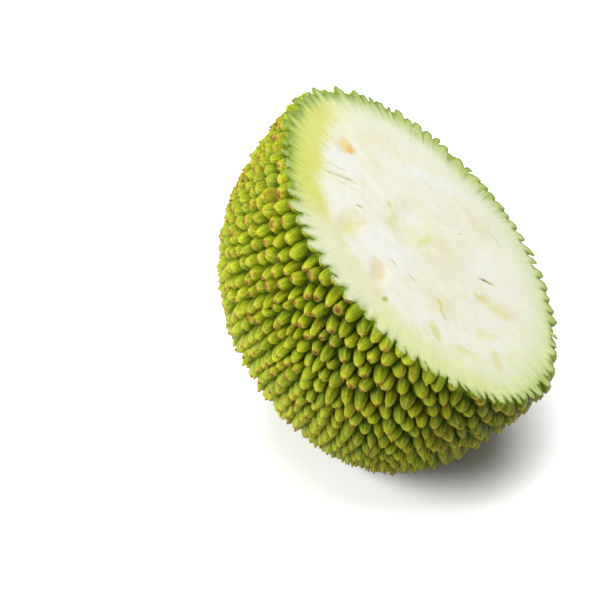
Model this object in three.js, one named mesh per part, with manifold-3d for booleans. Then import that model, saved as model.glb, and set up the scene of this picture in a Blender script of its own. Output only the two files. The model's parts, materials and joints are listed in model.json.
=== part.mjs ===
// Half of a young green jackfruit, cut straight across and resting on its spiny side.
// Millimetres, +Z up. The cut face leans towards +X. The origin is on the surface that the
// half rests on, under the middle of its box.
import * as THREE from 'three';
import { mergeVertices } from 'three/addons/utils/BufferGeometryUtils.js';
import Module from 'manifold-3d';

// Driving dimensions
const faceLength = 217.5; // cut face, its longer way over the spine tips
const faceWidth = 163.5; // cut face, its shorter way
const depth = 98.5; // from the cut face to the deepest spine tip
const faceFullness = 2.12; // 2 makes the face an ellipse, more fills out its corners
const flankFullness = 2.32; // the same for the curve from the rim to the deepest tip
const deepestOffset = [14, 2.6]; // deepest tip off the middle: down the slope, and across
const offsetPower = 1.88; // above 1 keeps the flanks square to the face at the rim
const flankSkew = 0.26; // towards the deepest tip the lower flank draws in, the upper one swells
const faceLean = THREE.MathUtils.degToRad(37.44); // cut face from level
const faceTurn = THREE.MathUtils.degToRad(6.1); // longer way of the face from level

const spineRows = 15; // spines along each edge of the icosahedron that spaces them out
const rowTurn = 0.45; // turn of the icosahedron about x and then y, in radians
const gathered = 0.8; // below 1 the spines are closer together at the deep end than at the cut
const waver = 0.02; // how far a spine strays from even spacing, in radians
const spineHeight = 6.8; // tip above the hollow between spines
const droop = 0.3; // a tip hangs this much away from the cut
const sag = 2.6; // and this much towards the table
const stubAtCut = 1.4; // beside the cut a spine is this much lower
const droopAtCut = 1.6; // and hangs this much more
const rimBelt = 14; // depth below the cut where those two have mostly gone

const settledDepth = 4.7; // the underside is pressed up this much by the weight
const settledBlend = 6; // height over which the pressed part runs out
const tipsFlattened = 2.5; // the lowest tips lose this much where they carry the fruit
const clearOfCut = 0.3; // no corner lies nearer than this to a plane that cuts the fruit

const { Manifold, Mesh: SolidMesh } = await openManifold();

async function openManifold() {
  const library = await Module();
  library.setup();
  return library;
}

// Even spacing over a unit ball: an icosahedron whose faces are split into small triangles.
// It is turned so that no row of spines runs along the cut.
function spacingBall() {
  const ball = new THREE.IcosahedronGeometry(1, spineRows - 1).rotateX(rowTurn).rotateY(rowTurn);
  ball.deleteAttribute('normal');
  ball.deleteAttribute('uv');
  return mergeVertices(ball);
}

// A spine's direction, strayed a little and gathered towards the deep end.
function strayed(direction) {
  const { x, y, z } = direction;
  const moved = new THREE.Vector3(
    x + waver * Math.sin(53 * y + 31 * z),
    y + waver * Math.sin(47 * z + 37 * x),
    z + waver * Math.sin(59 * x + 29 * y),
  ).normalize();
  const flat = new THREE.Vector2(moved.x, moved.y).multiplyScalar(gathered / Math.max(1 - moved.z, 1e-9));
  const shrink = 2 / (1 + flat.lengthSq());
  return moved.set(flat.x * shrink, flat.y * shrink, 1 - shrink);
}

// The swollen outline over the spine tips, with the cut face at z = 0 and its middle at 0, 0.
function tipOf(direction) {
  const { x, y, z } = strayed(direction);
  const level = (Math.abs(x) ** faceFullness + Math.abs(y) ** faceFullness) ** (1 / faceFullness);
  const swell = (level ** flankFullness + Math.abs(z) ** flankFullness) ** (-1 / flankFullness);
  const below = Math.max(-z * swell, 0) ** offsetPower;
  const skewed = 1 - flankSkew * below * x * swell;
  return new THREE.Vector3(
    0.5 * faceWidth * x * swell * skewed + deepestOffset[0] * below,
    0.5 * faceLength * y * swell + deepestOffset[1] * below,
    depth * z * swell,
  );
}

// The underside gives under the weight: what is lowest is pressed up the most.
function pressUnderside(tips) {
  const lowest = Math.min(...tips.map((tip) => tip.z));
  for (const tip of tips) {
    const above = tip.z - lowest - settledDepth;
    tip.z = lowest + 0.5 * (above + Math.hypot(above, settledBlend));
  }
}

function moveClear(point, normal, planeHeight) {
  const height = point.dot(normal) - planeHeight;
  const missing = Math.max(clearOfCut - Math.abs(height), 0);
  point.addScaledVector(normal, height < 0 ? -missing : missing);
}

// The hollow where three spines meet, a spine's height under the plane of their tips. It is
// moved back along that plane by as much as the tips hang.
function hollowBetween(a, b, c, faceNormal) {
  const outward = new THREE.Triangle(a, b, c).getNormal(new THREE.Vector3());
  const middle = new THREE.Vector3().add(a).add(b).add(c).divideScalar(3);
  const nearCut = Math.exp(-((Math.max(-middle.dot(faceNormal), 0) / rimBelt) ** 2));
  const back = faceNormal.clone().multiplyScalar(droop + droopAtCut * nearCut);
  back.z += sag;
  middle.add(back).addScaledVector(outward, -back.dot(outward));
  return middle.addScaledVector(outward, stubAtCut * nearCut - spineHeight);
}

// Every spine is a six-sided point: its tip joined to the hollows around it. The hollow of a
// face follows the tips in the list of corners, so it is numbered firstHollow + face.
function spineTriangles(faces, firstHollow) {
  const edges = faces.flatMap(([a, b, c], face) => [[a, b, face], [b, c, face], [c, a, face]]);
  const faceAlong = new Map(edges.map(([from, to, face]) => [`${from},${to}`, face]));
  return edges.flatMap(([from, to, face]) => [
    from, firstHollow + faceAlong.get(`${to},${from}`), firstHollow + face,
  ]);
}

function solidOf(geometry) {
  geometry.deleteAttribute('normal');
  geometry.deleteAttribute('uv');
  const merged = mergeVertices(geometry);
  return new Manifold(new SolidMesh({
    numProp: 3,
    vertProperties: new Float32Array(merged.getAttribute('position').array),
    triVerts: new Uint32Array(merged.getIndex().array),
  }));
}

// A block with its underside on z = 0 before it is placed.
function cuttingBlock(placing) {
  const size = 2 * (faceLength + depth);
  return solidOf(new THREE.BoxGeometry(size, size, size).translate(0, 0, size / 2).applyMatrix4(placing));
}

// Spine tips that the cut leaves loose are dropped.
function withoutCrumbs(solid) {
  return solid.decompose().reduce((largest, piece) => (piece.volume() > largest.volume() ? piece : largest));
}

function geometryOf(solid) {
  const { vertProperties, triVerts } = solid.getMesh();
  const geometry = new THREE.BufferGeometry();
  geometry.setAttribute('position', new THREE.BufferAttribute(vertProperties, 3));
  geometry.setIndex(new THREE.BufferAttribute(triVerts, 1));
  return geometry;
}

function halfFruit() {
  const lean = new THREE.Matrix4().makeRotationY(faceLean);
  lean.multiply(new THREE.Matrix4().makeRotationZ(faceTurn));
  const faceNormal = new THREE.Vector3(0, 0, 1).transformDirection(lean);
  const up = new THREE.Vector3(0, 0, 1);

  const ball = spacingBall();
  const place = ball.getAttribute('position');
  const tips = Array.from({ length: place.count }, (_, i) =>
    tipOf(new THREE.Vector3().fromBufferAttribute(place, i)).applyMatrix4(lean));
  pressUnderside(tips);
  const floorHeight = Math.min(...tips.map((tip) => tip.z)) + tipsFlattened;

  const index = Array.from(ball.getIndex().array);
  const faces = Array.from({ length: index.length / 3 }, (_, i) => index.slice(3 * i, 3 * i + 3));
  const hollows = faces.map(([a, b, c]) => hollowBetween(tips[a], tips[b], tips[c], faceNormal));
  const corners = [...tips, ...hollows];
  for (const corner of corners) {
    moveClear(corner, faceNormal, 0);
    moveClear(corner, up, floorHeight);
  }

  const spiny = new THREE.BufferGeometry().setFromPoints(corners);
  spiny.setIndex(spineTriangles(faces, tips.length));
  const floorBlock = new THREE.Matrix4().makeRotationX(Math.PI).setPosition(0, 0, floorHeight);
  const cut = solidOf(spiny).subtract(cuttingBlock(lean)).subtract(cuttingBlock(floorBlock));
  const half = geometryOf(withoutCrumbs(cut));

  half.computeBoundingBox();
  const middle = half.boundingBox.getCenter(new THREE.Vector3());
  return half.translate(-middle.x, -middle.y, -half.boundingBox.min.z);
}

const rind = new THREE.MeshStandardMaterial({ color: 0x93a52b, roughness: 0.55, metalness: 0 });
const jackfruitHalf = new THREE.Mesh(halfFruit(), rind);
jackfruitHalf.name = 'jackfruit_half';

const group = new THREE.Group();
group.add(jackfruitHalf);
export default group;
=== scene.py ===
import itertools
import json
import math
import random

import bmesh
import bpy
from mathutils import Matrix, Vector, geometry, noise


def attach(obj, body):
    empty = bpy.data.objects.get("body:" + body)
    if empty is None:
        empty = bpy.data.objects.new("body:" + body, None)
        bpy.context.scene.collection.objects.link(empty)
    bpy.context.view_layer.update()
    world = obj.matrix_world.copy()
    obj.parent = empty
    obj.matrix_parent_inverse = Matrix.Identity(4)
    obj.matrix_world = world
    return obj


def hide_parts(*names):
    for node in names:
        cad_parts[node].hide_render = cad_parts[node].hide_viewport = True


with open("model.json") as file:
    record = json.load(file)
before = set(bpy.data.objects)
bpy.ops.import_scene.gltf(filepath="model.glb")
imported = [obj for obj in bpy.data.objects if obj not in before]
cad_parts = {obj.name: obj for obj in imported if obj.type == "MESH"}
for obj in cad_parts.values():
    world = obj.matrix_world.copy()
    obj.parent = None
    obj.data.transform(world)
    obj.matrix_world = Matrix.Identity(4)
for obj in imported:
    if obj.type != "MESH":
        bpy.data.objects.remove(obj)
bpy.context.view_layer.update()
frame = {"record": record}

mounts = {mount["name"]: mount for mount in frame["record"]["mounts"]}
cutMiddle = Vector(mounts["cut_face"]["pos_m"])
cutNormal = Vector(mounts["cut_face"]["axis"]).normalized()
mm = 0.001


# Camera: a long lens, looking a little down on the cut face

viewpoint = {
    "azimuth": 5.3,  # degrees, round the fruit
    "elevation": 30,  # degrees above the table
    "distance": 1.005,  # to the plane through the middle of the cut face
    "lens": 132,
    "faceOffCentre": (0.0541, 0.0305),  # the face's middle, right of and above the middle of the picture
}


def makeCamera():
    around, above = math.radians(viewpoint["azimuth"]), math.radians(viewpoint["elevation"])
    level = Vector((math.sin(around), -math.cos(around), 0))
    back = level * math.cos(above) + Vector((0, 0, math.sin(above)))
    right = Vector((math.cos(around), math.sin(around), 0))
    up = back.cross(right)
    offRight, offUp = viewpoint["faceOffCentre"]
    aim = cutMiddle - right * offRight - up * offUp
    data = bpy.data.cameras.new("camera")
    data.lens = viewpoint["lens"]
    camera = bpy.data.objects.new("camera", data)
    camera.location = aim + back * viewpoint["distance"]
    camera.rotation_mode = "QUATERNION"
    camera.rotation_quaternion = (-back).to_track_quat("-Z", "Y")
    bpy.context.scene.collection.objects.link(camera)
    bpy.context.scene.camera = camera


makeCamera()
print("camera ready")


# Shader helpers

class Wire:
    # one node socket that takes part in Python arithmetic
    def __init__(self, finish, socket):
        self.finish, self.socket = finish, socket

    def maths(self, operation, *terms):
        node = self.finish.node("ShaderNodeMath", {"operation": operation}, dict(enumerate(terms)))
        return Wire(self.finish, node.outputs[0])

    def __add__(self, other):
        return self.maths("ADD", self, other)

    def __sub__(self, other):
        return self.maths("SUBTRACT", self, other)

    def __rsub__(self, other):
        return self.maths("SUBTRACT", other, self)

    def __mul__(self, other):
        return self.maths("MULTIPLY", self, other)

    def __truediv__(self, other):
        return self.maths("DIVIDE", self, other)

    def __rtruediv__(self, other):
        return self.maths("DIVIDE", other, self)

    def __pow__(self, other):
        return self.maths("POWER", self, other)

    __radd__, __rmul__ = __add__, __mul__

    def size(self):
        return self.maths("ABSOLUTE", self)

    def cosine(self):
        return self.maths("COSINE", self)

    def angle(self, other):
        return self.maths("ARCTAN2", self, other)

    def most(self, other):
        return self.maths("MAXIMUM", self, other)


class Finish:
    # the nodes of a material, or of the air round the table
    def __init__(self, owner):
        owner.use_nodes = True
        self.owner, self.tree = owner, owner.node_tree
        self.skin = self.tree.nodes.get("Principled BSDF")

    def node(self, kind, settings=None, sockets=None):
        made = self.tree.nodes.new(kind)
        for setting, value in (settings or {}).items():
            if setting == "stops":
                self.setStops(made.color_ramp.elements, value)
            else:
                setattr(made, setting, value)
        for name, value in (sockets or {}).items():
            self.feed(made.inputs[name], value)
        return made

    def feed(self, target, value):
        if isinstance(value, Wire):
            self.tree.links.new(value.socket, target)
        else:
            target.default_value = value

    def setStops(self, elements, stops):
        while len(elements) < len(stops):
            elements.new(1)
        for element, (place, colour) in zip(elements, stops):
            element.position, element.color = place, (*colour, 1)

    def wire(self, made, output=0):
        return Wire(self, made.outputs[output])

    def attribute(self, name, output="Fac"):
        return self.wire(self.node("ShaderNodeAttribute", {"attribute_name": name}), output)

    def place(self):
        return self.wire(self.node("ShaderNodeTexCoord"), "Object")

    def speckle(self, where, scale, detail=3, roughness=0.5):
        made = self.node("ShaderNodeTexNoise", {}, {
            "Vector": where, "Scale": scale, "Detail": detail, "Roughness": roughness})
        return self.wire(made, "Fac")

    def between(self, value, low, high, start=0.0, end=1.0):
        made = self.node("ShaderNodeMapRange", {"interpolation_type": "SMOOTHSTEP"}, {
            "Value": value, "From Min": low, "From Max": high, "To Min": start, "To Max": end})
        return self.wire(made, "Result")

    def blend(self, amount, first, second):
        # the Mix node's colour sockets are its numbers 6 and 7, and 2 on the way out
        made = self.node("ShaderNodeMix", {"data_type": "RGBA"}, {
            0: amount, 6: asColour(first), 7: asColour(second)})
        return self.wire(made, 2)

    def ramp(self, value, stops):
        return self.wire(self.node("ShaderNodeValToRGB", {"stops": stops}, {"Fac": value}))

    def join(self, x, y, z):
        return self.wire(self.node("ShaderNodeCombineXYZ", {}, {"X": x, "Y": y, "Z": z}))

    def vector(self, operation, *terms, **named):
        sockets = {**dict(enumerate(terms)), **named}
        node = self.node("ShaderNodeVectorMath", {"operation": operation}, sockets)
        return self.wire(node, "Value" if operation in ("LENGTH", "DOT_PRODUCT") else "Vector")

    def bump(self, height, strength, distance):
        sockets = {"Height": height, "Strength": strength, "Distance": distance}
        return self.wire(self.node("ShaderNodeBump", {}, sockets), "Normal")


def asColour(value):
    return value if isinstance(value, Wire) else (*value, 1)


def shade(red, green, blue):
    # a colour as it looks on screen, 0 to 255, turned into the light it reflects
    return tuple(((part / 255 + 0.055) / 1.055) ** 2.4 for part in (red, green, blue))


# The fruit's form: the same swollen outline and the same spine sites as its solid

fruit = {
    "faceLength": 217.5, "faceWidth": 163.5, "depth": 98.5,  # mm, over the spine tips
    "faceFullness": 2.12, "flankFullness": 2.32,  # 2 is an ellipse, more is squarer
    "deepest": (14, 2.6), "offsetPower": 1.88,  # where the far end lies off the middle
    "flankSkew": 0.26,  # the lower flank draws in toward the far end, the upper one swells
    "faceTurn": math.radians(6.1),
    "settledDepth": 4.7, "settledBlend": 6,  # mm that the weight presses the underside up, and how gently
}
spines = {
    "rows": 15,  # along each edge of the icosahedron that spaces them out
    "rowTurn": (0.45, 0.45),  # how that is turned, about x and then y
    "gathered": 0.8,  # below 1 they are closer together at the far end
    "waver": 0.02,  # how far they stray from even spacing
    "height": 6.8,  # mm, tip above the hollow between spines
    "heightSpread": 0.16,  # share of its height that one may lose, and 0.4 of that gain
    "droop": 0.3,  # mm that a tip hangs away from the cut
    "rimDroop": 1.2,  # more of it beside the cut
    "rimBelt": 14,  # mm below the cut where that has mostly gone
    "rimStub": 0.7,  # mm less height beside the cut
    "sag": 2.6,  # mm that a tip hangs toward the table
    "droopCurve": 1.35,  # above 1 the droop grows toward the tip
    "stray": 1.5,  # mm that a tip strays sideways
    "crowding": 0.8,  # mm that a hollow strays
    "sideRise": 0.8,  # mm that the groove between two spines is shallower than the hollows
    "bluntness": (-0.12, 0.05),  # how much narrower or wider one is at its tip
    "sharperUnder": 0.22,  # how much narrower where the fruit curves under
    "room": 0.47,  # share of the way to the next spine that one may fill
    "nubShare": 0.6,  # how many keep a dry nub at the tip
    "nubLean": (-0.5, 0.7),  # mm that a nub stands off the middle
    "seed": 9,
}
# up a spine: height, width, how round, and which corners of its foot it keeps (2 is every other)
spineProfile = (
    (0.24, 0.89, 0.10, 1),
    (0.54, 0.80, 0.20, 1),
    (0.78, 0.64, 0.35, 1),
    (0.92, 0.42, 0.60, 2),
)
# its last rings, in the same shares: a bare tip is only rounded off, a nub stands on a narrow neck
bareTip = {"neckHeight": 0.99, "neckWidth": 0.26, "peak": 0.12}
nubTip = {"neckHeight": 0.99, "neckWidth": 0.16, "crownHeight": 1.05, "crownWidth": 0.12, "peak": 0.25}


def leanMatrix():
    lean = math.atan2(cutNormal.x, cutNormal.z)
    return Matrix.Rotation(lean, 3, "Y") @ Matrix.Rotation(fruit["faceTurn"], 3, "Z")


def spacingBall():
    golden = (1 + math.sqrt(5)) / 2
    corners = []
    for one, two in itertools.product((-1, 1), (-golden, golden)):
        corners += [Vector((one, two, 0)), Vector((0, one, two)), Vector((two, 0, one))]
    tilt, turn = spines["rowTurn"]
    turned = Matrix.Rotation(turn, 3, "Y") @ Matrix.Rotation(tilt, 3, "X")
    sites, numbers, faces = [], {}, []

    def numberOf(point):
        point = point.normalized()
        key = tuple(round(part, 4) + 0.0 for part in point)
        if key not in numbers:
            numbers[key] = len(sites)
            sites.append(turned @ point)
        return numbers[key]

    rows = spines["rows"]
    for a, b, c in itertools.combinations(corners, 3):
        if max((a - b).length, (b - c).length, (c - a).length) > 2.1:
            continue  # not three neighbours
        if a.cross(b).dot(c) < 0:
            b, c = c, b
        grid = {(i, j): numberOf(a + (b - a) * i / rows + (c - a) * j / rows)
                for i in range(rows + 1) for j in range(rows + 1 - i)}
        for i, j in itertools.product(range(rows), repeat=2):
            if i + j < rows:
                faces.append((grid[i, j], grid[i + 1, j], grid[i, j + 1]))
            if i + j < rows - 1:
                faces.append((grid[i + 1, j], grid[i + 1, j + 1], grid[i, j + 1]))
    return sites, faces


def strayed(direction):
    x, y, z = direction
    waver = spines["waver"]
    moved = Vector((x + waver * math.sin(53 * y + 31 * z), y + waver * math.sin(47 * z + 37 * x),
                    z + waver * math.sin(59 * x + 29 * y))).normalized()
    flat = moved.to_2d() * spines["gathered"] / max(1 - moved.z, 1e-9)
    return (*(flat * 2 / (1 + flat.length_squared)), 1 - 2 / (1 + flat.length_squared))


def tipOf(direction):
    x, y, z = strayed(direction)
    across, along = fruit["faceFullness"], fruit["flankFullness"]
    level = (abs(x) ** across + abs(y) ** across) ** (1 / across)
    swell = (level ** along + abs(z) ** along) ** (-1 / along)
    below = max(-z * swell, 0) ** fruit["offsetPower"]
    skewed = 1 - fruit["flankSkew"] * below * x * swell
    return Vector((0.5 * fruit["faceWidth"] * x * swell * skewed + fruit["deepest"][0] * below,
                   0.5 * fruit["faceLength"] * y * swell + fruit["deepest"][1] * below,
                   fruit["depth"] * z * swell))


def spineTips(sites):
    # tips in mm from the middle of the cut face, level with the table, the underside pressed up
    lean = leanMatrix()
    tips = [lean @ tipOf(site) for site in sites]
    lowest = min(tip.z for tip in tips)
    for tip in tips:
        above = tip.z - lowest - fruit["settledDepth"]
        tip.z = lowest + 0.5 * (above + math.hypot(above, fruit["settledBlend"]))
    return tips


def neighboursRound(faces):
    # for a site and one neighbour: the face on the left of the line to it, and the next neighbour
    after = {}
    for number, (a, b, c) in enumerate(faces):
        after[a, b], after[b, c], after[c, a] = (number, c), (number, a), (number, b)
    return after


class Spine:
    # one spine's foot, the curve up its middle, and what chance gave it
    def __init__(self, foot, tip, draw):
        self.foot = foot
        spots = [(corner.co - cutMiddle) / mm for corner in foot]
        self.base = sum(spots, Vector()) / len(spots)
        self.spokes = [spot - self.base for spot in spots]
        turns = zip(self.spokes, self.spokes[1:] + self.spokes[:1])
        self.upright = sum((one.cross(two) for one, two in turns), Vector()).normalized()
        reach = tip - self.base
        rise = reach.dot(self.upright)
        self.sideways = self.upright.orthogonal().normalized()
        self.sideways.rotate(Matrix.Rotation(draw.uniform(0, 2 * math.pi), 3, self.upright))
        stray = self.sideways * draw.uniform(0, spines["stray"])
        self.droop = reach - self.upright * rise + stray
        self.rise = rise * (1 + draw.uniform(-1, 0.4) * spines["heightSpread"])
        self.tint, self.dryness = draw.uniform(-1, 1), draw.random()
        under = min(max(0.1 - self.upright.z, 0), 0.8)
        self.bluntness = draw.uniform(*spines["bluntness"]) - under * spines["sharperUnder"]
        self.hasNub = draw.random() < spines["nubShare"]
        self.nubLean = self.sideways * draw.uniform(*spines["nubLean"]) if self.hasNub else Vector()

    def middleAt(self, height):
        return self.base + self.upright * self.rise * height + self.droop * height ** spines["droopCurve"]

    def leaningAt(self, height):
        curve = spines["droopCurve"]
        return (self.upright * self.rise + self.droop * curve * height ** (curve - 1)).normalized()


class SpinyRind:
    # builds the rind as one skin of spines that share their hollows and grooves
    def __init__(self):
        self.mesh = bmesh.new()
        layers = self.mesh.verts.layers.float
        names = ("upSpine", "tint", "dryness")
        self.upSpine, self.tint, self.dryness = (layers.new(name) for name in names)
        self.round = self.mesh.verts.layers.float_vector.new("round")
        self.draw = random.Random(spines["seed"])
        noise.seed_set(spines["seed"])  # Blender seeds it from the clock otherwise
        sites, faces = spacingBall()
        self.tips = spineTips(sites)
        self.after = neighboursRound(faces)
        self.hollowSpots = [self.hollowOf(*(self.tips[site] for site in face)) for face in faces]
        self.hollows, self.grooves = {}, {}

    def hollowOf(self, a, b, c):
        outward = (b - a).cross(c - a).normalized()
        below = max(-(a + b + c).dot(cutNormal) / 3, 0)
        nearCut = math.exp(-(below / spines["rimBelt"]) ** 2)
        droop = spines["droop"] + spines["rimDroop"] * nearCut
        lift = cutNormal * droop + Vector((0, 0, spines["sag"]))
        lift += noise.noise_vector((a + b + c) * 0.21) * spines["crowding"]
        lift -= outward * lift.dot(outward)
        return (a + b + c) / 3 - outward * (spines["height"] - spines["rimStub"] * nearCut) + lift

    def corner(self, spot, upSpine, spine=None, about=Vector()):
        made = self.mesh.verts.new(cutMiddle + spot * mm)
        made[self.upSpine] = upSpine
        if spine:
            made[self.tint], made[self.dryness], made[self.round] = spine.tint, spine.dryness, about
        return made

    def hollowCorner(self, face):
        if face not in self.hollows:
            self.hollows[face] = self.corner(self.hollowSpots[face], 0.0)
        return self.hollows[face]

    def grooveCorner(self, first, second, left, right):
        # the saddle between two neighbouring spines
        key = (min(first, second), max(first, second))
        if key not in self.grooves:
            middle = (self.hollowSpots[left] + self.hollowSpots[right]) / 2
            outward = (self.tips[first] + self.tips[second]) / 2 - middle
            self.grooves[key] = self.corner(middle + outward.normalized() * spines["sideRise"], 0.08)
        return self.grooves[key]

    def footOf(self, site, start):
        foot, neighbour = [], start
        while True:
            left, following = self.after[site, neighbour]
            right = self.after[neighbour, site][0]
            foot += [self.grooveCorner(site, neighbour, left, right), self.hollowCorner(left)]
            neighbour = following
            if neighbour == start:
                return foot

    def neighboursOf(self, site, start):
        found, neighbour = [], start
        while not found or neighbour != start:
            found.append(neighbour)
            neighbour = self.after[site, neighbour][1]
        return found

    def ring(self, spine, beside, height, width, roundness, step, shift=Vector()):
        across = spine.upright.lerp(spine.leaningAt(height), min(height, 1)).normalized()
        flat = [spoke - across * spoke.dot(across) for spoke in spine.spokes[step - 1::step]]
        evenRadius = sum(spoke.length for spoke in flat) / len(flat)
        middle = spine.middleAt(height)
        gaps = [other.middleAt(height) - middle for other in beside]
        made = []
        for i, spoke in enumerate(flat):
            radius = width * (spoke.length * (1 - roundness) + evenRadius * roundness)
            outward = spoke.normalized()
            for gap in gaps:
                if outward.dot(gap) > 0:
                    radius = min(radius, spines["room"] * gap.length_squared / outward.dot(gap))
            turn = 2 * math.pi * (i * step + step - 1) / len(spine.spokes)
            about = Vector((math.cos(turn), math.sin(turn), 0))
            made.append(self.corner(middle + shift + outward * radius, height, spine, about))
        return made

    def build(self, spine, beside):
        lower = spine.foot
        for height, width, roundness, step in spineProfile:
            width += spine.bluntness * height ** 2
            upper = self.ring(spine, beside, height, width, roundness, step)
            self.bridge(lower, upper)
            lower = upper
        tip = nubTip if spine.hasNub else bareTip
        neckWidth = tip["neckWidth"] + (0 if spine.hasNub else spine.bluntness)
        crown = self.ring(spine, beside, tip["neckHeight"], neckWidth, 1, 2, spine.nubLean * 0.3)
        self.bridge(lower, crown)
        if spine.hasNub:
            neck = crown
            crown = self.ring(spine, beside, tip["crownHeight"], tip["crownWidth"], 1, 2, spine.nubLean)
            self.bridge(neck, crown)
        peak = (sum((corner.co for corner in crown), Vector()) / len(crown) - cutMiddle) / mm
        peak += spine.leaningAt(1) * tip["peak"]
        top = self.corner(peak, 1.1 if spine.hasNub else 1.0, spine)
        for one, two in zip(crown, crown[1:] + crown[:1]):
            self.mesh.faces.new((one, two, top))

    def bridge(self, lower, upper):
        if len(lower) == len(upper):
            for i in range(len(lower)):
                j = (i + 1) % len(lower)
                self.mesh.faces.new((lower[i], lower[j], upper[j], upper[i]))
            return
        for i in range(len(upper)):
            one, two, three = (lower[(2 * i + onward) % len(lower)] for onward in (1, 2, 3))
            here, there = upper[i], upper[(i + 1) % len(upper)]
            self.mesh.faces.new((one, two, here))
            self.mesh.faces.new((two, there, here))
            self.mesh.faces.new((two, three, there))

    def grow(self):
        firstNeighbour = {}
        for site, neighbour in self.after:
            firstNeighbour.setdefault(site, neighbour)
        reach = 2 * spines["height"]  # spines that start above the cut may still lean across it
        grown = {}
        for site, start in firstNeighbour.items():
            if self.tips[site].dot(cutNormal) < reach:
                grown[site] = Spine(self.footOf(site, start), self.tips[site], self.draw)
        for site, spine in grown.items():
            around = self.neighboursOf(site, firstNeighbour[site])
            self.build(spine, [grown[other] for other in around if other in grown])
        return self.mesh


def cutAcross(mesh):
    # the knife: everything past the cut goes, and loose crumbs with it
    bmesh.ops.triangulate(mesh, faces=mesh.faces[:])  # flat faces keep the outline from crossing itself
    clear = 0.1 * mm  # no corner lies nearer to the knife
    for corner in mesh.verts:
        height = (corner.co - cutMiddle).dot(cutNormal)
        if abs(height) < clear:
            corner.co += cutNormal * (math.copysign(clear, height) - height)
    bmesh.ops.bisect_plane(mesh, geom=mesh.verts[:] + mesh.edges[:] + mesh.faces[:], dist=1e-7,
                           plane_co=cutMiddle, plane_no=cutNormal, clear_outer=True)
    unseen, bodies = set(mesh.faces), []
    for start in mesh.faces:
        if start not in unseen:
            continue
        unseen.discard(start)
        body, waiting = [], [start]
        while waiting:
            face = waiting.pop()
            body.append(face)
            for beside in itertools.chain.from_iterable(side.link_faces for side in face.edges):
                if beside in unseen:
                    unseen.discard(beside)
                    waiting.append(beside)
        bodies.append(body)
    bodies.sort(key=len)
    crumbs = [face for body in bodies[:-1] for face in body]
    bmesh.ops.delete(mesh, geom=crumbs, context="FACES")
    print("loose crumbs removed:", len(bodies) - 1)


def restOnTable(mesh):
    for corner in mesh.verts:
        corner.co.z = max(corner.co.z, 0)


rind = SpinyRind().grow()
cutAcross(rind)
restOnTable(rind)
print("spines grown:", len(rind.verts), "corners,", len(rind.faces), "faces")


# The cut face: a fine skin over the knife cut, with young seeds and their hollows

cutFace = {
    "rimBand": 9,  # mm inside the rim that has the finest mesh
    "fineGrid": 1.08,  # mm between points there
    "coarseStep": 2,  # fine steps between points further in
    "rimGap": 0.45,  # fine steps between the rim and the first points
    "rippleHeight": 0.35,  # mm
    "flatRim": 5,  # mm over which ripples and dips run out toward the rim
    "skirt": 1.25,  # how far past a seed's outline its dip reaches
    "fray": 1.3,  # mm that the rim strays
    "directions": 720,  # round the rim, for the painted shade and green skin that run in from its notches
    "marksOffMiddle": (2, -2.5),  # mm from the middle of the face to the middle of the marks
}
# what the knife went through, in mm from the middle of the marks: down the slope, and along it
# place, half length and half width, turn in degrees, how deep it dips (less than 0 stands up)
youngSeeds = {
    "amberSeed": ((-43, 39), (6, 5), 93, -0.4),
    "amberSeat": ((-43, 39), (9.5, 8), 93, 0.4),
    "ovalPod": ((-42, -28), (13, 5.5), 68, 0.3),
    "longPod": ((-7, 7), (23, 9), 68, 0.3),
    "tanPod": ((-27, -54), (13, 4.5), 80, 0.4),
    "lowPod": ((21, -40), (16, 6.5), 68, 0.25),
    "slit": ((38, 0), (6, 0.8), 15, 0.9),
    "paleSeat": ((43, -18), (12.5, 7), 12, 0.3),
    "paleSeed": ((44, -19), (8, 3.5), 12, -0.3),
    "tear": ((-47, 7), (11.5, 1.3), 20, 0.5),
}


def inOval(x, y, place, halves, turn):
    # 0 at the middle of an oval, 1 on its outline
    along, across = math.cos(math.radians(turn)), math.sin(math.radians(turn))
    middleX, middleY = cutFace["marksOffMiddle"]
    offX, offY = x - middleX - place[0], y - middleY - place[1]
    lengthShare = (offX * along + offY * across) / halves[0]
    return math.hypot(lengthShare, (offY * along - offX * across) / halves[1])


def inSeed(x, y, seed):
    return inOval(x, y, *youngSeeds[seed][:3])


def levelAt(x, y):
    # 0 in the middle of the cut face, 1 on the outline over the spine tips
    full = fruit["faceFullness"]
    acrossShare, alongShare = abs(x) / (fruit["faceWidth"] / 2), abs(y) / (fruit["faceLength"] / 2)
    return (acrossShare ** full + alongShare ** full) ** (1 / full)


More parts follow.
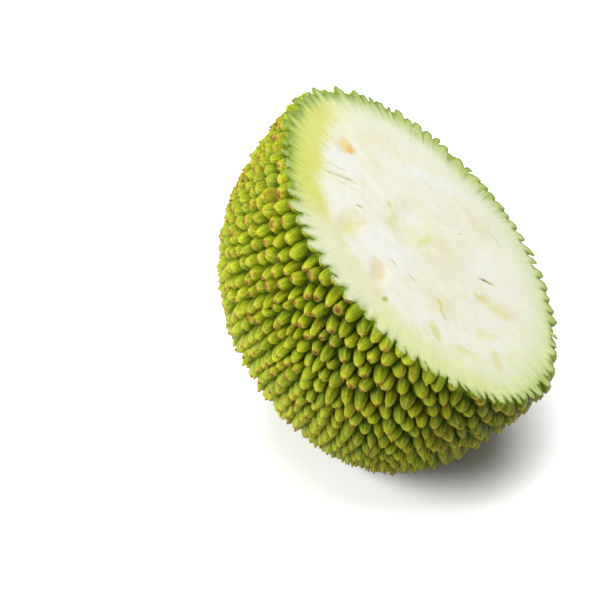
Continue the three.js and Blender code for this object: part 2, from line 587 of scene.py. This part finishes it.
class CutFace:
    def __init__(self, mesh):
        self.mesh = mesh
        self.fromSkin = mesh.verts.layers.float.new("fromSkin")
        self.notch = mesh.verts.layers.float.new("notch")
        self.toWorld = leanMatrix()
        self.rimEdges = [edge for edge in mesh.edges if len(edge.link_faces) == 1]
        self.rim = list(dict.fromkeys(corner for edge in self.rimEdges for corner in edge.verts))
        self.rimPlaces = [self.placeOf(corner) for corner in self.rim]
        numbers = {corner: i for i, corner in enumerate(self.rim)}
        self.rimLines = [tuple(numbers[corner] for corner in edge.verts) for edge in self.rimEdges]
        self.ringLevels = self.levelsRound()
        for corner, place in zip(self.rim, self.rimPlaces):
            corner[self.notch] = self.notchAt(place.x, place.y)

    def levelsRound(self):
        # how far out the rim lies in each direction from the middle
        count = cutFace["directions"]
        sums, shares = [0.0] * count, [0.0] * count
        for a, b in self.rimLines:
            for step in range(4):
                place = self.rimPlaces[a].lerp(self.rimPlaces[b], step / 4)
                number = int(self.directionOf(place.x, place.y)) % count
                sums[number] += levelAt(place.x, place.y)
                shares[number] += 1
        for number in range(count):
            if not shares[number]:
                sums[number], shares[number] = sums[number - 1] / shares[number - 1], 1
        return [total / share for total, share in zip(sums, shares)]

    def directionOf(self, x, y):
        turn = math.atan2(y / fruit["faceLength"], x / fruit["faceWidth"]) / (2 * math.pi)
        return (turn % 1) * cutFace["directions"]

    def notchAt(self, x, y):
        # how far in the rim is where a line from the middle leaves the face
        direction = self.directionOf(x, y) - 0.5
        number, share = math.floor(direction), direction % 1
        here, there = (self.ringLevels[(number + onward) % cutFace["directions"]] for onward in (0, 1))
        return 1 - here * (1 - share) - there * share

    def placeOf(self, corner):
        return (self.toWorld.transposed() @ (corner.co - cutMiddle) / mm).to_2d()

    def gridPoints(self):
        # a triangular grid of points inside the rim, each with its distance from it
        step = cutFace["fineGrid"]
        rise = step * math.sqrt(3) / 2
        columns = int(fruit["faceWidth"] / step / 2) + 2
        rows = int(fruit["faceLength"] / rise / 2) + 2
        starts = [self.rimPlaces[a] for a, _ in self.rimLines]
        ends = [self.rimPlaces[b] for _, b in self.rimLines]
        near = RimSearch(starts, ends)
        points = []
        for j in range(-rows, rows + 1):
            y = j * rise
            crossings = near.crossings(y)
            for i in range(-columns, columns + 1):
                x = (i + 0.5 * (j % 2)) * step
                if sum(crossing < x for crossing in crossings) % 2 == 0:
                    continue
                away = near.distance(x, y, cutFace["rimBand"])
                if away < cutFace["rimGap"] * step:
                    continue
                coarse = i % cutFace["coarseStep"] == 0 and j % cutFace["coarseStep"] == 0
                close = any(inSeed(x, y, seed) < cutFace["skirt"] for seed in youngSeeds)
                if away < cutFace["rimBand"] or coarse or close:
                    points.append((x, y, away))
        return points

    def heightAt(self, x, y, away):
        ripple = noise.noise(Vector((x, y, 0)) * 0.045) + 0.5 * noise.noise(Vector((x, y, 9)) * 0.13)
        height = cutFace["rippleHeight"] * ripple
        for seed, (_, _, _, dip) in youngSeeds.items():
            reach = inSeed(x, y, seed) / cutFace["skirt"]
            if reach < 1:
                height -= dip * (1 - reach ** 2) ** 1.5
        return height * min(away / cutFace["flatRim"], 1)

    def fill(self):
        points = self.gridPoints()
        places = self.rimPlaces + [Vector((x, y)) for x, y, _ in points]
        onlyInside, closest = 1, 1e-6
        found = geometry.delaunay_2d_cdt(places, self.rimLines, [], onlyInside, closest)
        spots, _, faces, origins = found[:4]
        corners = []
        for spot, origin in zip(spots, origins):
            onRim = [number for number in origin if number < len(self.rim)]
            if onRim:
                corners.append(self.rim[onRim[0]])
                continue
            x, y, away = points[origin[0] - len(self.rim)] if origin else (spot.x, spot.y, 0.0)
            lifted = self.toWorld @ Vector((x, y, self.heightAt(x, y, away))) * mm
            corner = self.mesh.verts.new(cutMiddle + lifted)
            corner[self.fromSkin], corner[self.notch] = away, self.notchAt(x, y)
            corners.append(corner)
        for edge in self.rimEdges:
            edge.smooth = False
        for face in faces:
            made = self.mesh.faces.new([corners[number] for number in face])
            made.material_index = 1
        self.fray()
        print("cut face filled:", len(points), "points,", len(faces), "faces")

    def fray(self):
        # the knife leaves the rim rough, most of all at the lower end of the upper side
        for corner, place in zip(self.rim, self.rimPlaces):
            lowSide = min(max((10 - place.y - place.x * 0.9) / 60, 0), 1)
            rough = noise.noise_vector(Vector((place.x, place.y, 3)) * 0.8)
            reach = cutFace["fray"] * (0.35 + 0.65 * lowSide)
            outward = self.toWorld @ Vector((place.x, place.y, 0)).normalized()
            corner.co += (outward * abs(rough.x) + cutNormal * rough.y * 0.6) * reach * mm


class RimSearch:
    # distances from the rim, and where a level line crosses it
    def __init__(self, starts, ends):
        self.lines = list(zip(starts, ends))
        self.cell = 4.0  # mm
        self.cells = {}
        for line in self.lines:
            middle = (line[0] + line[1]) / 2
            self.cells.setdefault(self.cellOf(middle.x, middle.y), []).append(line)

    def cellOf(self, x, y):
        return int(x // self.cell), int(y // self.cell)

    def crossings(self, y):
        found = []
        for start, end in self.lines:
            if (start.y > y) != (end.y > y):
                found.append(start.x + (end.x - start.x) * (y - start.y) / (end.y - start.y))
        return found

    def distance(self, x, y, far):
        point, best = Vector((x, y)), far + self.cell
        homeX, homeY = self.cellOf(x, y)
        reach = int(far // self.cell) + 1
        for i, j in itertools.product(range(-reach, reach + 1), repeat=2):
            for start, end in self.cells.get((homeX + i, homeY + j), ()):
                line = end - start
                share = max(0.0, min(1.0, (point - start).dot(line) / max(line.dot(line), 1e-9)))
                best = min(best, (start + line * share - point).length)
        return best


CutFace(rind).fill()


# Finishes

rindLook = {
    "towardPaintedLightAndDryTips": (-9.5, -1.5, 5.0),  # toward the side with painted light and drier tips, and how fast it brightens per metre
    "highlitRidges": 6,  # painted highlight lines up the sides of each spine
    # from the hollows up to the tips, with painted shade that darkens the hollows between spines
    "shadedSide": (
        (0.00, shade(2, 6, 0)), (0.20, shade(12, 22, 0)), (0.45, shade(42, 55, 0)),
        (0.75, shade(78, 88, 0)), (1.00, shade(118, 120, 4))),
    # the same ramp with painted light, and a limier tone of its own
    "paintedLitLimeSide": (
        (0.00, shade(8, 16, 0)), (0.20, shade(46, 65, 0)), (0.45, shade(93, 112, 0)),
        (0.75, shade(130, 146, 3)), (1.00, shade(156, 165, 18))),
    "yellowSpine": shade(118, 112, 0), "darkSpine": shade(36, 60, 0),
    "paleStreak": shade(128, 136, 4), "darkStreak": shade(42, 52, 0),
    "paleGrain": shade(160, 168, 40), "darkGrain": shade(60, 66, 0),
    "olive": shade(112, 98, 4), "ridgeHighlight": shade(162, 160, 34),
    "unshadedGapByCut": shade(112, 132, 14), "paintedLightFreshGreen": shade(150, 178, 50),
    "freckle": shade(104, 70, 4), "cap": shade(172, 146, 62), "dried": shade(92, 60, 18),
}


def rindFinish():
    finish = Finish(bpy.data.materials.new("green rind"))
    look = rindLook
    where = finish.place()
    upSpine, tint, dryness = (finish.attribute(name) for name in ("upSpine", "tint", "dryness"))
    around = finish.attribute("round", "Vector")
    patches = finish.speckle(where, 30, 2)
    mottle = finish.speckle(where, 420, 4, 0.7)
    fine = finish.speckle(where, 1600, 3, 0.65)
    roundSpine = finish.vector("SCALE", around, Scale=2.6)
    grain = finish.vector("ADD", roundSpine, finish.vector("SCALE", where, Scale=90))
    streaks = finish.speckle(grain, 1, 3, 0.6)
    sine = finish.vector("DOT_PRODUCT", around, (0, 1, 0))
    turn = sine.angle(finish.vector("DOT_PRODUCT", around, (1, 0, 0)))
    highlitRidges = finish.between((turn * look["highlitRidges"]).cosine() * -1 + (fine - 0.5), 0.35, 1.1)
    # painted light: lighter and limier toward the upper left, partly the rind's own lime tone
    towardPaintedLightAndDryTips = finish.vector("DOT_PRODUCT", where, look["towardPaintedLightAndDryTips"])
    paintedLightAndLime = finish.between(towardPaintedLightAndDryTips + (patches - 0.5), -0.2, 1.1)

    # painted shade: both ramps run near black down in the hollows between spines
    height = upSpine + (mottle - 0.5) * 0.3
    paintedLitLimeSide = finish.ramp(height, look["paintedLitLimeSide"])
    colour = finish.blend(paintedLightAndLime * 0.85, finish.ramp(height, look["shadedSide"]), paintedLitLimeSide)
    varied = tint + (patches - 0.5) * 2
    colour = finish.blend(finish.between(varied, 0, 1.4, 0, 0.45), colour, look["yellowSpine"])
    colour = finish.blend(finish.between(varied, 0.2, -1.4, 0, 0.5), colour, look["darkSpine"])
    colour = finish.blend(finish.between(streaks, 0.52, 0.72, 0, 0.25), colour, look["paleStreak"])
    colour = finish.blend(finish.between(streaks, 0.46, 0.3, 0, 0.4), colour, look["darkStreak"])
    olive = finish.between(mottle, 0.50, 0.66) * finish.between(upSpine, 0.3, 0.9)
    colour = finish.blend(olive * 0.4, colour, look["olive"])
    colour = finish.blend(finish.between(fine, 0.5, 0.68) * 0.22, colour, look["darkGrain"])
    colour = finish.blend(finish.between(fine, 0.46, 0.3) * 0.2, colour, look["paleGrain"])
    # painted highlight: pale lines along the ridges of each spine
    paintedHighlightOnRidges = highlitRidges * finish.between(upSpine, 0.25, 0.8)
    colour = finish.blend(paintedHighlightOnRidges * 0.35, colour, look["ridgeHighlight"])
    # beside the cut the painted shade in the gaps gives way to light green, and on the far side the spines
    # get painted light over a fresh green
    offMiddle = finish.vector("SUBTRACT", where, cutMiddle)
    offCut = finish.vector("DOT_PRODUCT", offMiddle, cutNormal)
    # less painted shade in the gaps just below the cut
    beside = finish.between(offCut, -5 * mm, -0.5 * mm) * finish.between(upSpine, 0.7, 0.2)
    colour = finish.blend(beside * 0.7, colour, look["unshadedGapByCut"])
    # painted light on the far side's spines beside the cut, partly their fresh cut green
    farther = finish.vector("DOT_PRODUCT", offMiddle, (0.6, 0.8, 0))
    paintedLightFarSide = finish.between(farther, -20 * mm, 20 * mm, 0.2, 1)
    colour = finish.blend(finish.between(offCut, -4 * mm, 0, 0, 0.6) * paintedLightFarSide, colour, look["paintedLightFreshGreen"])
    # brown freckles, more of them towards the tip
    freckles = finish.between(mottle + fine * 0.35, 0.68, 0.82)
    freckles = freckles * finish.between(upSpine + tint * 0.3, 0.2, 0.9)
    colour = finish.blend(freckles * 0.65, colour, look["freckle"])
    # tips: a thin tan cap, brown where it has dried
    weathered = finish.between(towardPaintedLightAndDryTips + (patches - 0.5) * 0.4, 0.25, 0.9)
    worn = upSpine + (mottle - 0.5) * 0.3 + (dryness - 0.5) * 0.16 + weathered * 0.07
    cap = finish.between(worn, 0.92, 1.04)
    colour = finish.blend(cap * 0.75, colour, look["cap"])
    dried = finish.between(worn + (fine - 0.5) * 0.3, 0.96, 1.08) * finish.between(dryness, 0.1, 0.4)
    colour = finish.blend(dried * 0.85, colour, look["dried"])

    skin = finish.skin
    finish.feed(skin.inputs["Base Color"], colour)
    finish.feed(skin.inputs["Roughness"], finish.between(cap + fine * 0.6, 0, 1.4, 0.42, 0.85))
    finish.feed(skin.inputs["Normal"], finish.bump(streaks + mottle * 0.9 + fine * 0.3, 0.8, mm))
    skin.inputs["Specular IOR Level"].default_value = 0.22
    skin.inputs["Specular Tint"].default_value = (0.9, 1, 0.35, 1)
    skin.inputs["Subsurface Weight"].default_value = 0.1
    skin.inputs["Subsurface Radius"].default_value = (0.9, 1.0, 0.2)
    skin.inputs["Subsurface Scale"].default_value = mm
    return finish.owner


def juicy(red, green, blue):
    # a flesh colour as it looks on screen: the lamps light the cut face a third brighter than white
    return tuple(0.72 * part for part in shade(red, green, blue))


# colour on the face, in the order it is laid down: place, half sizes and turn as for youngSeeds,
# colour, how strong, and the outline's width as a share of its size (0 fills it)
faceTints = (
    ((-24, -28), (24, 16), 40, (240, 240, 232), 0.7, 0),  # whiter flesh
    ((-50, -8), (12, 12), 20, (240, 241, 232), 0.65, 0),
    ((13, 62), (20, 8), 20, (240, 241, 232), 0.7, 0),
    ((38, 14), (13, 16), 10, (240, 240, 230), 0.6, 0),
    ((-43, 22), (11, 13), 40, (240, 240, 232), 0.8, 0),
    ((26, -56), (9, 14), 10, (238, 238, 226), 0.5, 0),
    ((-34, 12), (22, 1.7), 90, (232, 225, 194), 0.4, 0),  # cream vein
    ((-42, -28), (14.5, 6), 68, (232, 226, 178), 0.55, 0),  # oval pod
    ((-42, -28), (13, 5.5), 68, (224, 222, 152), 0.3, 0.45),
    ((-36, -22), (6.5, 2), 62, (231, 212, 174), 0.5, 0),
    ((-43, -32), (9, 3.5), 64, (226, 229, 146), 0.8, 0),
    ((-7, 7), (23, 9), 68, (226, 228, 168), 0.3, 0.35),  # long pod
    ((-17, -1), (8, 2), 72, (221, 224, 138), 0.5, 0),
    ((2, 0), (8, 2.5), 60, (219, 228, 130), 0.6, 0),
    ((-19, 11), (3.5, 2), 80, (222, 224, 140), 0.8, 0),
    ((-27, -52), (12, 5), 80, (232, 217, 170), 0.8, 0),  # tan pod
    ((-28, -66), (9, 4), 85, (232, 222, 180), 0.6, 0),
    ((-23, -71), (2.5, 1.2), 60, (184, 184, 70), 0.9, 0),
    ((-18, -37), (3.5, 0.9), -33, (205, 202, 134), 0.8, 0),
    ((-8, -40), (3.5, 0.8), -27, (206, 208, 140), 0.7, 0),
    ((24, 27), (3, 1.4), 50, (208, 214, 132), 0.8, 0),
    ((-37, -8), (2.5, 1.1), 40, (184, 186, 118), 0.8, 0),
    ((43, -18), (12, 6), 12, (232, 224, 170), 0.6, 0),  # pale seed
    ((43, -18), (11.5, 6), 12, (231, 218, 172), 0.3, 0.3),
    ((34, -18), (5, 2.5), 20, (228, 212, 136), 0.8, 0),
    ((44, -19), (7.5, 3), 12, (226, 231, 158), 0.75, 0),
    ((21, -40), (16, 6.5), 68, (230, 222, 190), 0.25, 0.4),  # low pod
    ((9, -51), (7, 1), -81, (216, 214, 116), 0.8, 0),
    ((8, -45), (2, 1.7), 0, (220, 218, 124), 0.8, 0),
    ((33, -49), (8, 4), 40, (229, 228, 160), 0.6, 0),
    ((20, -72), (7, 3), 20, (218, 226, 148), 0.7, 0),
    ((4, -71), (7, 2.5), -75, (216, 221, 132), 0.7, 0),
    ((39, -64), (9, 3), -80, (226, 218, 158), 0.7, 0),
    ((47, 46), (6, 0.8), -45, (203, 212, 148), 0.6, 0),
    ((-47, 7), (11.5, 1.3), 20, (206, 212, 160), 0.8, 0),  # torn fibres
    ((-44, 3), (9, 0.8), 18, (214, 218, 168), 0.6, 0),
    ((-50, 13), (7, 0.9), 25, (210, 214, 158), 0.7, 0),
    ((-43, 39), (7, 5.5), 93, (233, 220, 168), 0.8, 0),  # amber seed
    ((-43, 39), (6.5, 5), 93, (235, 208, 126), 0.95, 0),
    ((-41, 37), (3, 2), 93, (230, 190, 94), 0.8, 0),
    ((40, 1), (5, 1.4), 14, (222, 204, 150), 0.8, 0),  # slit
    ((38, 0), (5, 0.8), 17, (150, 138, 78), 0.95, 0),
)


fleshLook = {
    "flesh": juicy(239, 238, 220), "creamFlesh": juicy(235, 231, 196),
    "creamBlotch": juicy(236, 231, 196), "whiteBlotch": juicy(241, 242, 236),
    "yellowPatch": juicy(230, 230, 176), "whitePatch": juicy(240, 241, 234),
    # out to the rind: all round, and in the yellower band down the upper side
    "towardRind": (
        (0.66, juicy(237, 237, 218)), (0.80, juicy(233, 236, 206)), (0.89, juicy(224, 231, 186)),
        (0.95, juicy(208, 220, 150)), (1.00, juicy(172, 194, 90))),
    "upperBand": (
        (0.63, juicy(232, 231, 188)), (0.71, juicy(222, 223, 120)), (0.80, juicy(217, 221, 106)),
        (0.87, juicy(202, 213, 88)), (0.93, juicy(170, 190, 50)), (1.00, juicy(132, 160, 28))),
    "lowerEnd": juicy(226, 230, 156), "topEnd": juicy(186, 202, 106),
    "lowerLeft": juicy(233, 234, 204), "yolky": juicy(230, 233, 158),
    "fleck": juicy(196, 205, 168), "greenLine": juicy(136, 166, 52), "notchShadeSkin": juicy(128, 158, 48),
    "combed": juicy(242, 244, 212), "torn": juicy(240, 242, 222),
    "peel": juicy(144, 172, 52), "outermost": juicy(96, 126, 20),
}


def tinted(finish, colour, spot, ragged, tint):
    # one oval of colour laid over the rest
    (placeX, placeY), (long, short), turn, tone, strength, outline = tint
    along, across = math.cos(math.radians(turn)), math.sin(math.radians(turn))
    lengthRow = (along / long, across / long, -(placeX * along + placeY * across) / long)
    widthRow = (-across / short, along / short, (placeX * across - placeY * along) / short)
    lengthShare = finish.vector("DOT_PRODUCT", spot, lengthRow)
    widthShare = finish.vector("DOT_PRODUCT", spot, widthRow)
    inside = finish.vector("LENGTH", finish.join(lengthShare, widthShare, 0)) + ragged
    if outline:
        amount = finish.between((inside - 1).size(), outline * 1.2, outline * 0.1, 0, strength)
    else:
        amount = finish.between(inside, 1.3, 0.4, 0, strength)
    return finish.blend(amount, colour, juicy(*tone))


def fleshFinish():
    finish = Finish(bpy.data.materials.new("cut flesh"))
    look = fleshLook
    where = finish.place()
    fromSkin, notch = finish.attribute("fromSkin"), finish.attribute("notch")
    # mm down the slope of the face and along it, and level: 0 in its middle, 1 on its outline
    offMiddle = finish.vector("SUBTRACT", where, cutMiddle)
    x = finish.vector("DOT_PRODUCT", offMiddle, leanMatrix().col[0] / mm)
    y = finish.vector("DOT_PRODUCT", offMiddle, leanMatrix().col[1] / mm)
    full = fruit["faceFullness"]
    acrossShare, alongShare = x.size() / (fruit["faceWidth"] / 2), y.size() / (fruit["faceLength"] / 2)
    level = (acrossShare ** full + alongShare ** full) ** (1 / full)
    x, y = x - cutFace["marksOffMiddle"][0], y - cutFace["marksOffMiddle"][1]
    outward = 1 / level.most(0.2)
    streaks = finish.speckle(finish.join(x * outward * 0.36, y * outward * 0.36, level * 2.4), 1, 3, 0.6)
    hairs = finish.speckle(finish.join(x * outward * 0.9, y * outward * 0.9, level * 7), 1, 2, 0.6)
    cloud = finish.speckle(where, 24, 3)
    blotches = finish.speckle(where, 60, 4, 0.6)
    patchy = finish.speckle(where, 130, 4, 0.65)
    fibres = finish.speckle(where, 300, 4, 0.65)

    colour = finish.blend(finish.between(cloud, 0.42, 0.62), look["flesh"], look["creamFlesh"])
    colour = finish.blend(finish.between(blotches, 0.55, 0.75, 0, 0.5), colour, look["creamBlotch"])
    colour = finish.blend(finish.between(blotches, 0.45, 0.3, 0, 0.5), colour, look["whiteBlotch"])
    colour = finish.blend(finish.between(patchy, 0.53, 0.66, 0, 0.4), colour, look["yellowPatch"])
    colour = finish.blend(finish.between(patchy, 0.45, 0.34, 0, 0.4), colour, look["whitePatch"])
    # greener toward the rind, and yellower in a broad band down the upper side
    edge = level + (cloud - 0.5) * 0.14 + (streaks - 0.5) * 0.1
    colour = finish.blend(finish.between(edge, 0.62, 0.78), colour, finish.ramp(edge, look["towardRind"]))
    inset = edge - finish.between(y, 15, 55, 0, 0.06)  # the band narrows towards the top end
    upperBand = finish.ramp(inset + (streaks - 0.5) * 0.12, look["upperBand"])
    upperSide = finish.between(x + y * 0.12 + (cloud - 0.5) * 16, -22, -50)
    inBand = finish.between(inset, 0.62, 0.73) * upperSide * finish.between(y, 50, 82, 1, 0.45)
    colour = finish.blend(inBand, colour, upperBand)
    lowerEnd = finish.between(y + x * 0.25, -58, -92) * finish.between(edge, 0.66, 0.86)
    colour = finish.blend(lowerEnd * 0.6, colour, look["lowerEnd"])
    topEnd = finish.between(y, 62, 96) * finish.between(edge, 0.78, 0.94)
    colour = finish.blend(topEnd * 0.9, colour, look["topEnd"])
    lowerLeft = upperSide * finish.between(y, -20, -55) * finish.between(edge, 0.60, 0.75)
    colour = finish.blend(lowerLeft * 0.8, colour, look["lowerLeft"])
    lowSide = finish.between(y - x * 0.9, -30, -70)
    yolky = finish.between(patchy, 0.48, 0.62) * finish.between(level, 0.62, 0.8) * lowSide
    colour = finish.blend(yolky * 0.6, colour, look["yolky"])

    # the marks, their outlines wavering and ragged
    waver = finish.speckle(where, 110, 3, 0.6)
    wobble = finish.speckle(where, 100, 3, 0.6)
    spot = finish.join(x + (waver - 0.5) * 5, y + (wobble - 0.5) * 7, 1)
    ragged = (fibres - 0.5) * 1.1
    for tint in faceTints:
        colour = tinted(finish, colour, spot, ragged, tint)

    flecks = finish.between(fibres, 0.63, 0.72) * finish.between(level + cloud * 0.3, 0.55, 0.8)
    colour = finish.blend(flecks * finish.between(y, 10, 50) * 0.6, colour, look["fleck"])
    # green lines, and painted shade of the gaps between cut spines over their green skin, run in from the
    # rim, most of all on the upper side and at the top end
    highUp = finish.between(y, -30, 35)
    streaky = (upperSide * highUp).most(finish.between(y, 50, 85))
    lines = finish.between(streaks, 0.46, 0.64) * finish.between(level, 0.80, 0.93)
    colour = finish.blend(lines * (0.1 + streaky * 0.5), colour, look["greenLine"])
    fromNotch = level + notch + (streaks - 0.5) * 0.05
    # painted shade: the gaps between the cut spines, seen as green wedges at the rim's notches
    notchShadeAndSkin = finish.between(notch + (fibres - 0.5) * 0.03, 0.025, 0.055)
    notchShadeAndSkin = notchShadeAndSkin * finish.between(fromNotch, 0.91, 1.0)
    colour = finish.blend(notchShadeAndSkin * (0.45 + streaky * 0.45), colour, look["notchShadeSkin"])
    combed = finish.between(hairs, 0.5, 0.75) * finish.between(level, 0.65, 0.92) * (1 - lowSide * 0.7)
    colour = finish.blend(combed * 0.3, colour, look["combed"])
    torn = finish.between(fibres, 0.5, 0.62) * finish.between(fromSkin, 3.5, 0.5)
    colour = finish.blend(torn * finish.between(y, 10, -30) * 0.8, colour, look["torn"])
    peel = finish.between(fromSkin + (streaks - 0.5) * 3, 2.6, 0.3)
    colour = finish.blend(peel * (0.5 + highUp * 0.35), colour, look["peel"])
    outermost = finish.between(fromSkin + (fibres - 0.5) * 0.8, 0.9, 0.2)
    greenEdge = highUp.most(finish.between(x, 0, 40)).most(patchy) * outermost
    colour = finish.blend(greenEdge * 0.8, colour, look["outermost"])

    skin = finish.skin
    relief = fibres * 0.6 + hairs * finish.between(level, 0.5, 0.9)
    finish.feed(skin.inputs["Base Color"], colour)
    finish.feed(skin.inputs["Normal"], finish.bump(relief, 0.35, 0.6 * mm))
    finish.feed(skin.inputs["Roughness"], finish.between(fibres, 0.3, 0.7, 0.3, 0.5))
    skin.inputs["Subsurface Weight"].default_value = 0.2
    skin.inputs["Subsurface Radius"].default_value = (1.0, 0.9, 0.5)
    skin.inputs["Subsurface Scale"].default_value = 2 * mm
    return finish.owner


def makeFruit(mesh):
    for face in mesh.faces:
        face.smooth = True
    data = bpy.data.meshes.new("jackfruit half")
    mesh.to_mesh(data)
    openEdges = sum(1 for edge in mesh.edges if len(edge.link_faces) != 2)
    print("edges without two faces:", openEdges)
    mesh.free()
    for material in (rindFinish(), fleshFinish()):
        data.materials.append(material)
    piece = bpy.data.objects.new("spiny_jackfruit_half", data)
    bpy.context.scene.collection.objects.link(piece)
    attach(piece, "root")
    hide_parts("jackfruit_half")


makeFruit(rind)
print("fruit finished")


# Studio: white table, soft light from the upper left

studio = {
    "table": 0.93,  # how white
    "tableRadius": 1.15, "tableCorners": 96,
    "surroundings": 0.04,  # how much the air itself lights the fruit
    "lights": {  # where it hangs and its width in metres, its power in watts
        "above": ((0.14, 0, 1.5), 1.5, 30.4),
        "frontLeft": ((-1.1, -1.1, 0.9), 1.0, 30),
        "left": ((-1.3, -0.2, 0.5), 0.8, 24),
        "behind": ((0.2, 1.2, 1.0), 1.0, 12),
        "frontRight": ((0.9, -1.2, 0.6), 1.0, 3.8),
    },
}


def makeStudio():
    corners = studio["tableCorners"]
    edge = Vector((studio["tableRadius"], 0, 0))
    rim = [Matrix.Rotation(2 * math.pi * number / corners, 3, "Z") @ edge for number in range(corners)]
    data = bpy.data.meshes.new("table")
    data.from_pydata(rim, [], [range(corners)])
    table = bpy.data.objects.new("table", data)
    bpy.context.scene.collection.objects.link(table)
    paint = Finish(bpy.data.materials.new("white table"))
    paint.skin.inputs["Base Color"].default_value = (*[studio["table"]] * 3, 1)
    paint.skin.inputs["Roughness"].default_value = 0.7
    data.materials.append(paint.owner)
    for name, (spot, width, power) in studio["lights"].items():
        lamp = bpy.data.lights.new(name, "AREA")
        lamp.size, lamp.energy = width, power
        light = bpy.data.objects.new(name, lamp)
        light.location = spot
        light.rotation_mode = "QUATERNION"
        light.rotation_quaternion = (cutMiddle - light.location).to_track_quat("-Z", "Y")
        bpy.context.scene.collection.objects.link(light)
    world = bpy.data.worlds.new("studio")  # looks white, but lights the fruit only a little
    air = Finish(world)
    background = air.tree.nodes["Background"]
    seen = air.wire(air.node("ShaderNodeLightPath"), "Is Camera Ray")
    background.inputs["Color"].default_value = (1, 1, 1, 1)
    air.feed(background.inputs["Strength"], seen.most(studio["surroundings"]))
    bpy.context.scene.world = world
    bpy.context.scene.view_settings.view_transform = "Standard"


makeStudio()
print("studio ready")
